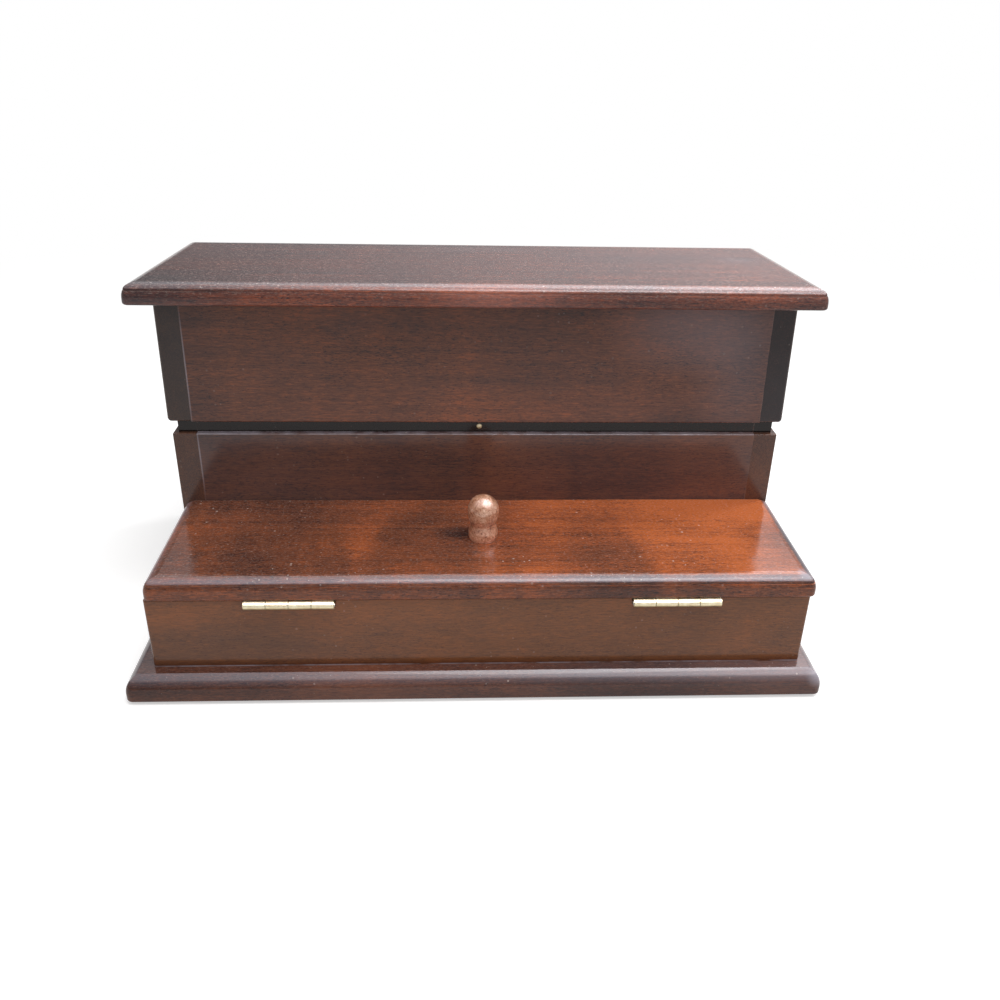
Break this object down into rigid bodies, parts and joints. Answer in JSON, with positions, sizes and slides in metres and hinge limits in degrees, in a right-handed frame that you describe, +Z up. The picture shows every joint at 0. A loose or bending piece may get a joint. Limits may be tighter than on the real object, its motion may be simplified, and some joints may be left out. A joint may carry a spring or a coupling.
{
  "type": "desk organizer with lift lid",
  "caption": "Two-step wooden desk box: a low front compartment under a hinged flap with a turned knob, and a tall rear compartment for letters under a deep rear-hinged lift lid.",
  "frame": {"origin": "centre of the overall footprint on the table, under the baize", "axes": "+X to the user's right along the long side, +Y towards the back where the lid is hinged, +Z up"},
  "size_m": [0.307, 0.1894, 0.1632],
  "materials": {
    "mahogany": "glossy french polish",
    "knob_wood": "glossy french polish, lighter and mottled",
    "brass": "worn satin",
    "steel": "plain",
    "steel_pin": "plain",
    "baize": "felted"
  },
  "bodies": {
    "body": {"base_baize": "baize", "base_board": "mahogany", "base_screws": "steel", "box_front_board": "mahogany", "side_board_left": "mahogany", "side_board_right": "mahogany", "upright_front_board": "mahogany", "back_board": "mahogany", "snap_stud": "brass", "tray_divider_left": "mahogany", "tray_divider_right": "mahogany", "letter_divider": "mahogany", "front_fixed_leaf_screws": "brass", "rear_fixed_leaf_screws": "brass", "front_hinge_left_fixed_leaf": "brass", "front_hinge_left_pin": "steel_pin", "front_hinge_right_fixed_leaf": "brass", "front_hinge_right_pin": "steel_pin", "rear_hinge_left_fixed_leaf": "brass", "rear_hinge_left_pin": "steel_pin", "rear_hinge_right_fixed_leaf": "brass", "rear_hinge_right_pin": "steel_pin"},
    "flap": {"flap_board": "mahogany", "knob": "knob_wood", "knob_screw": "steel", "flap_leaf_screws": "brass", "front_hinge_left_turning_leaf": "brass", "front_hinge_right_turning_leaf": "brass"},
    "lid": {"lid_top_board": "mahogany", "lid_side_board_left": "mahogany", "lid_side_board_right": "mahogany", "lid_front_board": "mahogany", "lid_back_board": "mahogany", "lid_leaf_screws": "brass", "rear_hinge_left_turning_leaf": "brass", "rear_hinge_right_turning_leaf": "brass"}
  },
  "joints": [
    {"name": "flap_hinge", "type": "hinge", "parent": "body", "child": "flap", "pos_m": [0, -0.0867, 0.0455], "axis": [1, 0, 0], "range_deg": [0, 198]},
    {"name": "lid_hinge", "type": "hinge", "parent": "body", "child": "lid", "pos_m": [0, 0.087, 0.0901], "axis": [-1, 0, 0], "range_deg": [-3.3, 175]}
  ]
}
